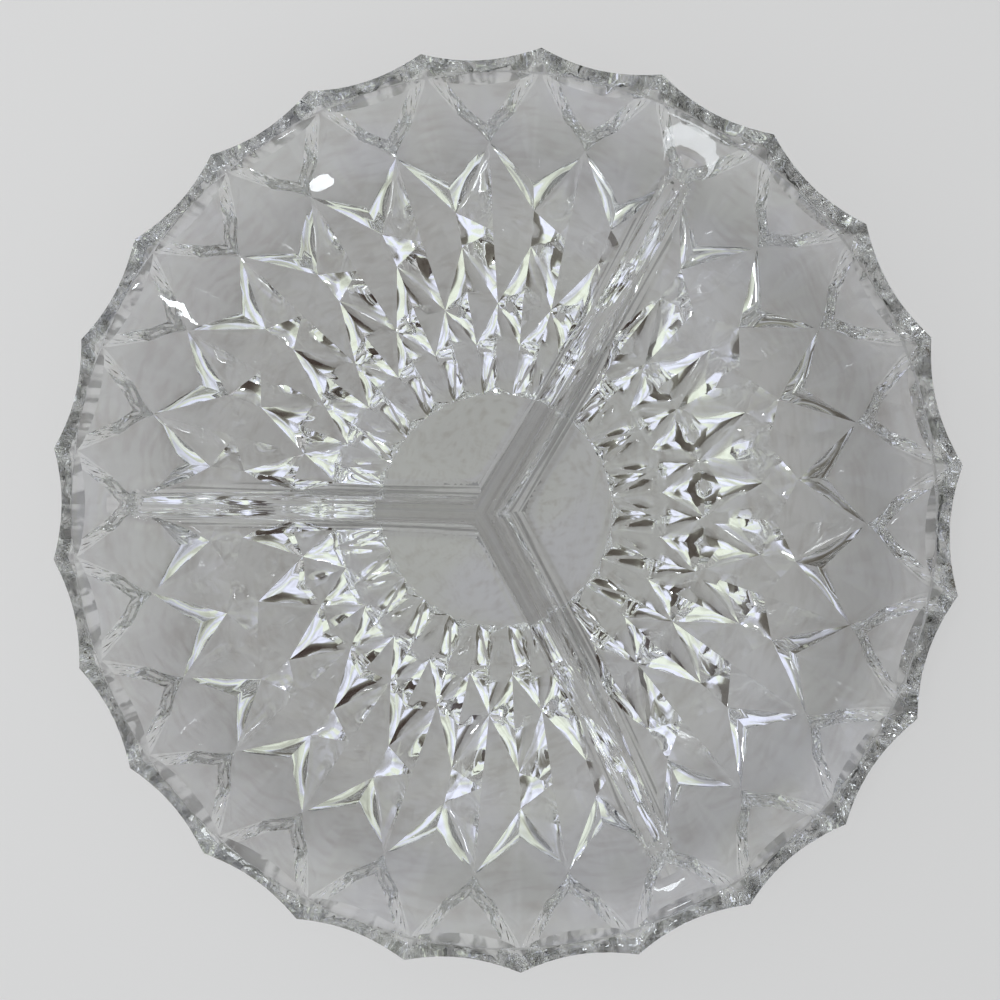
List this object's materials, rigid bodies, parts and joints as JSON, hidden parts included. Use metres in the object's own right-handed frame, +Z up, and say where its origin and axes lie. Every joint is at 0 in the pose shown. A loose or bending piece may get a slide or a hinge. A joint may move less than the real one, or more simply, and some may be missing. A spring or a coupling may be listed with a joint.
{
  "type": "relish tray",
  "caption": "Round clear glass relish tray with a scalloped rim, a diamond-cut outside and a smooth inside, split into compartments by low dividers that meet in the middle.",
  "frame": {"origin": "middle of the flat foot, on the surface the tray stands on", "axes": "+Z up out of the bowl; the left divider runs along -X and one compartment faces +X"},
  "size_m": [0.2518, 0.2518, 0.044],
  "materials": {
    "clear_glass": "clear pressed glass, fire-polished, with a faint grey-green tint in the thick rim"
  },
  "bodies": {
    "root": {"foot_disc": "clear_glass", "wall_right": "clear_glass", "wall_upper_left": "clear_glass", "wall_lower_left": "clear_glass", "rim_right": "clear_glass", "rim_upper_left": "clear_glass", "rim_lower_left": "clear_glass", "divider_left": "clear_glass", "divider_upper_right": "clear_glass", "divider_lower_right": "clear_glass", "divider_hub": "clear_glass"}
  },
  "joints": []
}
